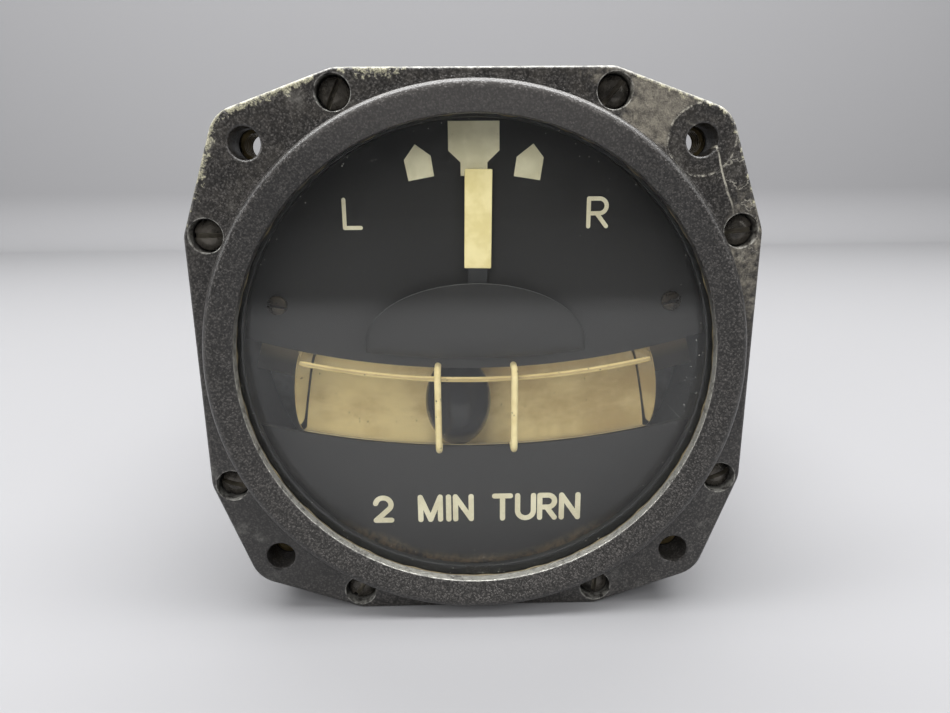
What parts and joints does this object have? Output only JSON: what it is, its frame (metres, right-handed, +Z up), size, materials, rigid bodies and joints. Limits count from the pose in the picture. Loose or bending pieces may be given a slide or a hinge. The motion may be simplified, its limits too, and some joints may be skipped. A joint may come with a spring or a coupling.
{
  "type": "aircraft turn and slip indicator",
  "caption": "Panel instrument with a gyro-driven turn needle over a dial and a ball in a curved glass tube that shows slip, in a round case with a square bezel and a rear electrical receptacle",
  "frame": {"origin": "centre of the bezel flange's front face, which lies against the back of the panel", "axes": "+X to the right as the pilot sees it, +Y back into the panel, +Z up"},
  "size_m": [0.0822, 0.1236, 0.0822],
  "materials": {
    "wrinkle_black": "fine wrinkle paint, worn on the edges",
    "case_black": "satin black paint",
    "cover_glass": "clear, flat",
    "tube_glass": "clear, polished",
    "black_rubber": "matte",
    "black_steel": "blackened, slots worn",
    "brass": "turned",
    "dull_brass": "darkened",
    "olive_alloy": "olive drab plating",
    "insulator": "moulded",
    "screw_steel": "plain",
    "dial_black": "matte",
    "ball_black": "polished",
    "cream_paint": "aged cream luminous paint",
    "alloy": "machined",
    "bearing_steel": "ground",
    "magnet": "sintered",
    "copper": "copper",
    "bakelite": "moulded",
    "carbon": "carbon"
  },
  "bodies": {
    "housing": {"bezel": "wrinkle_black", "cover_glass": "cover_glass", "glass_seal": "black_rubber", "glass_retainer": "black_steel", "bezel_screws": "black_steel", "case_gasket": "black_rubber", "case_shell": "case_black", "mounting_inserts": "brass", "rear_cover": "case_black", "rear_cover_screws": "black_steel", "connector_shell": "olive_alloy", "connector_insulator": "insulator", "connector_pins": "brass", "connector_screws": "screw_steel", "upper_dial": "dial_black", "lower_dial": "dial_black", "dial_posts": "brass", "dial_screws": "dull_brass", "slip_tube": "tube_glass", "tube_plugs": "tube_glass", "tube_keeper": "cream_paint", "tube_cradle": "cream_paint", "index_wires": "cream_paint", "staff_bushes": "brass", "staff_bridge": "alloy", "bridge_screws": "screw_steel", "front_plate": "alloy", "rear_plate": "alloy", "frame_pillars": "alloy", "pillar_screws": "screw_steel", "chassis_screws": "screw_steel", "pivot_bearings": "bearing_steel", "damper_cylinder": "brass", "spring_bracket": "alloy", "spring_adjuster": "screw_steel", "stop_pins": "bearing_steel"},
    "gimbal": {"gimbal_frame": "alloy", "gimbal_pivots": "bearing_steel", "sector_gear": "brass", "crank_arm": "alloy", "rotor_bearings": "bearing_steel", "field_magnet": "magnet", "magnet_carrier": "alloy", "brush_holder": "bakelite", "brushes": "carbon"},
    "pointer": {"needle": "cream_paint", "needle_hub": "brass", "needle_weight": "brass", "needle_staff": "bearing_steel", "staff_pinion": "brass"},
    "rotor": {"gyro_wheel": "brass", "rotor_shaft": "bearing_steel", "armature": "copper", "commutator": "copper"},
    "piston": {"damper_piston": "alloy"},
    "ball": {"slip_ball": "ball_black"},
    "spring": {"centring_spring": "bearing_steel"}
  },
  "joints": [
    {"name": "gimbal_tilt", "type": "hinge", "parent": "housing", "child": "gimbal", "pos_m": [0, 0.0539, 0], "axis": [0, 1, 0], "range_deg": [-9, 9], "stiffness_Nm_per_rad": 0.02},
    {"name": "needle_swing", "type": "hinge", "parent": "housing", "child": "pointer", "pos_m": [0, 0.0185, -0.015], "axis": [0, 1, 0], "range_deg": [-25, 25]},
    {"name": "rotor_spin", "type": "hinge", "parent": "gimbal", "child": "rotor", "pos_m": [0, 0.0539, 0], "axis": [1, 0, 0], "continuous": true},
    {"name": "damper_slide", "type": "slide", "parent": "housing", "child": "piston", "axis": [0, 0, 1], "range_m": [-0.0029, 0.0029]},
    {"name": "spring_lean", "type": "hinge", "parent": "housing", "child": "spring", "pos_m": [0, 0.0887, 0.0251], "axis": [0, 1, 0], "range_deg": [-6.2, 6.2]},
    {"name": "ball_roll", "type": "hinge", "parent": "housing", "child": "ball", "pos_m": [0, 0.01, 0.121], "axis": [0, 1, 0], "range_deg": [-10.9, 8.4]}
  ],
  "couplings": [
    {"joint": "needle_swing", "follows": "gimbal_tilt", "ratio": -2.75},
    {"joint": "damper_slide", "follows": "gimbal_tilt", "m_per_rad": 0.018},
    {"joint": "spring_lean", "follows": "gimbal_tilt", "ratio": -0.676}
  ]
}
